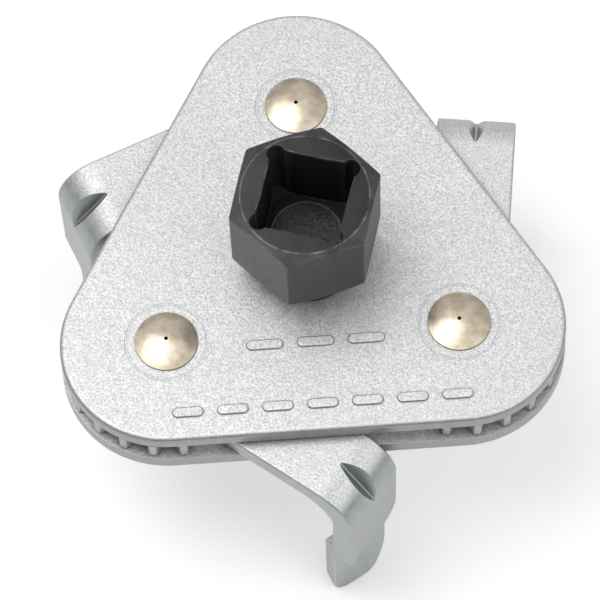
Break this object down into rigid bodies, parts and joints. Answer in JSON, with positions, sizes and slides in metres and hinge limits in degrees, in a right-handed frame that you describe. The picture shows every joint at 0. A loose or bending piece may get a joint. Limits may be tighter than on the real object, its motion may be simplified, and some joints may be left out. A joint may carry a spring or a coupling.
{
  "type": "oil filter wrench",
  "caption": "Claw-type oil filter wrench with geared swinging arms between two rounded triangular plates and a hexagon drive with a square socket.",
  "frame": {"origin": "centre of the drive square's mouth, on the top face of the hexagon", "axes": "+Z along the drive axis, out of the socket and away from the filter; +Y from the drive axis towards the top arm's pivot; the claws hang towards -Z"},
  "size_m": [0.0752, 0.0817, 0.0604],
  "materials": {
    "plate_steel": "sandblasted and zinc plated, matt with a fine grain",
    "arm_steel": "sandblasted and zinc plated, smoother on the bends and claws",
    "black_oxide": "black oxide, satin, worn along the edges",
    "rivet_metal": "pale yellow plating, smooth and glossy",
    "gear_steel": "plain machined steel, lightly oiled",
    "washer_steel": "plain steel"
  },
  "bodies": {
    "housing": {"top_plate": "plate_steel", "bottom_plate": "plate_steel", "drive_washer": "washer_steel", "pivot_rivet_top": "rivet_metal", "pivot_sleeve_top": "washer_steel", "arm_washer_top": "washer_steel", "pivot_rivet_left": "rivet_metal", "pivot_sleeve_left": "washer_steel", "arm_washer_left": "washer_steel", "pivot_rivet_right": "rivet_metal", "pivot_sleeve_right": "washer_steel", "arm_washer_right": "washer_steel"},
    "drive": {"drive_nut": "black_oxide", "sun_gear": "gear_steel"},
    "arm_top": {"claw_arm_top": "arm_steel"},
    "arm_left": {"claw_arm_left": "arm_steel"},
    "arm_right": {"claw_arm_right": "arm_steel"}
  },
  "joints": [
    {"name": "drive_spin", "type": "hinge", "parent": "housing", "child": "drive", "pos_m": [0, 0, -0.0255], "axis": [0, 0, 1], "range_deg": [0, 302]},
    {"name": "arm_top_swing", "type": "hinge", "parent": "housing", "child": "arm_top", "pos_m": [0, 0.025, -0.0255], "axis": [0, 0, 1], "range_deg": [-216, 0]},
    {"name": "arm_left_swing", "type": "hinge", "parent": "housing", "child": "arm_left", "pos_m": [-0.02165, -0.0125, -0.0255], "axis": [0, 0, 1], "range_deg": [-216, 0]},
    {"name": "arm_right_swing", "type": "hinge", "parent": "housing", "child": "arm_right", "pos_m": [0.02165, -0.0125, -0.0255], "axis": [0, 0, 1], "range_deg": [-216, 0]}
  ],
  "couplings": [
    {"joint": "arm_top_swing", "follows": "drive_spin", "ratio": -0.71429},
    {"joint": "arm_left_swing", "follows": "drive_spin", "ratio": -0.71429},
    {"joint": "arm_right_swing", "follows": "drive_spin", "ratio": -0.71429}
  ]
}
